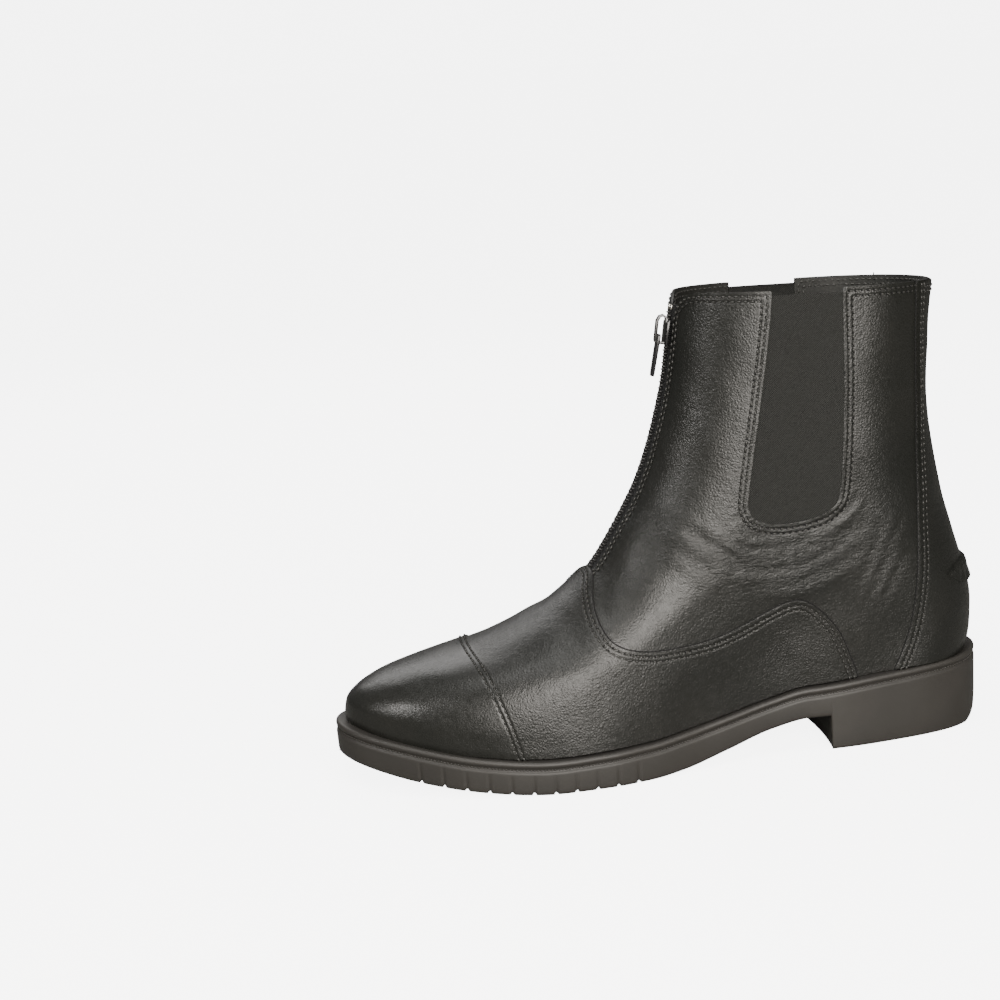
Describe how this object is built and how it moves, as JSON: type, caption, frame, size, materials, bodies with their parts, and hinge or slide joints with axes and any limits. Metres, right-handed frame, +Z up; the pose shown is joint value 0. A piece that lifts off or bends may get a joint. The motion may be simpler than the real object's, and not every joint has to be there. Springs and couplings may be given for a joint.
{
  "type": "ankle boot",
  "caption": "Low-heeled leather riding ankle boot with a front zip, elastic side gores and a toe cap, standing empty on its sole.",
  "frame": {"origin": "on the floor under the middle of the outsole's length and width", "axes": "+X towards the toe, +Y towards the boot's left, which is its outer side, +Z up"},
  "size_m": [0.285, 0.0944, 0.199],
  "materials": {
    "sole_rubber": "satin moulded",
    "insole_board": "matte",
    "leather": "smooth, soft gloss",
    "elastic": "woven, matte",
    "zip_tape": "woven, matte",
    "zip_coil": "satin",
    "zip_metal": "gloss black"
  },
  "bodies": {
    "boot": {"outsole": "sole_rubber", "insole": "insole_board", "upper": "leather", "vamp": "leather", "toe_cap": "leather", "back_panel": "leather", "spur_rest": "leather", "elastic_outer": "elastic", "elastic_inner": "elastic", "zip_tape": "zip_tape", "zip_teeth": "zip_coil", "zip_slider": "zip_metal"},
    "pull": {"zip_pull": "zip_metal"}
  },
  "joints": [
    {"name": "pull_swing", "type": "hinge", "parent": "boot", "child": "pull", "pos_m": [-0.00529, -0.00089, 0.17824], "axis": [0, -1, 0], "range_deg": [0, 85]}
  ]
}
